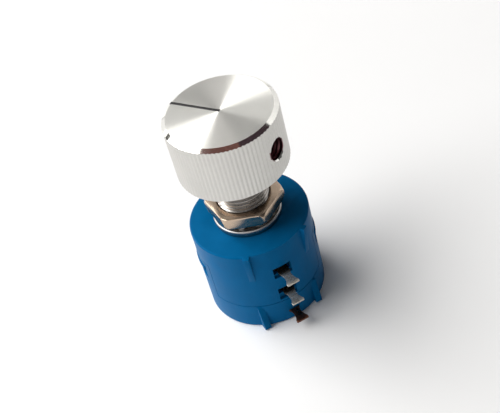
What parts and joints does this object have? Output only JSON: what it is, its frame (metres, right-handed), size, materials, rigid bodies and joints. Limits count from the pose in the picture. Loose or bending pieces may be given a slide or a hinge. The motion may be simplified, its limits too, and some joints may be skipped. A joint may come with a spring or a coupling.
{
  "type": "rotary potentiometer",
  "caption": "Multi-turn wirewound rotary potentiometer: round plastic housing with solder lugs, threaded bushing with nut and washer, slotted shaft and knurled knob.",
  "frame": {"origin": "centre of the rear face of the housing, on the shaft axis", "axes": "+Z along the shaft towards the knob, -Y towards the three solder lugs"},
  "size_m": [0.0226, 0.0256, 0.0436],
  "materials": {
    "housing_plastic": "satin moulded",
    "nickel_plate": "nickel plated, satin",
    "washer_steel": "plated, bright",
    "shaft_steel": "ground",
    "rotor_plastic": "matt moulded",
    "contact_brass": "rolled strip",
    "element_wire": "fine winding on a copper core",
    "terminal_plate": "tinned, bright",
    "knob_aluminium": "turned and knurled, clear anodised",
    "screw_steel": "blackened"
  },
  "bodies": {
    "housing": {"front_housing": "housing_plastic", "rear_cover": "housing_plastic", "bushing": "nickel_plate", "lock_washer": "washer_steel", "hex_nut": "nickel_plate", "resistance_element": "element_wire", "collector_spring": "contact_brass", "terminal_ccw": "terminal_plate", "terminal_cw": "terminal_plate", "terminal_wiper": "terminal_plate", "element_clip_ccw": "contact_brass", "element_clip_cw": "contact_brass"},
    "shaft_assembly": {"shaft": "shaft_steel", "retaining_ring": "washer_steel", "rotor": "rotor_plastic", "slip_ring": "contact_brass", "knob": "knob_aluminium", "set_screw": "screw_steel"},
    "carriage": {"wiper_carriage": "rotor_plastic", "wiper_contact": "contact_brass"}
  },
  "joints": [
    {"name": "shaft_turn", "type": "hinge", "parent": "housing", "child": "shaft_assembly", "pos_m": [0, 0, 0.02], "axis": [0, 0, 1], "range_deg": [-1710, 1890]},
    {"name": "carriage_travel", "type": "slide", "parent": "shaft_assembly", "child": "carriage", "axis": [0, 0, 1], "range_m": [-0.00476, 0.00526]}
  ],
  "couplings": [
    {"joint": "carriage_travel", "follows": "shaft_turn", "m_per_rad": 0.00015915}
  ]
}
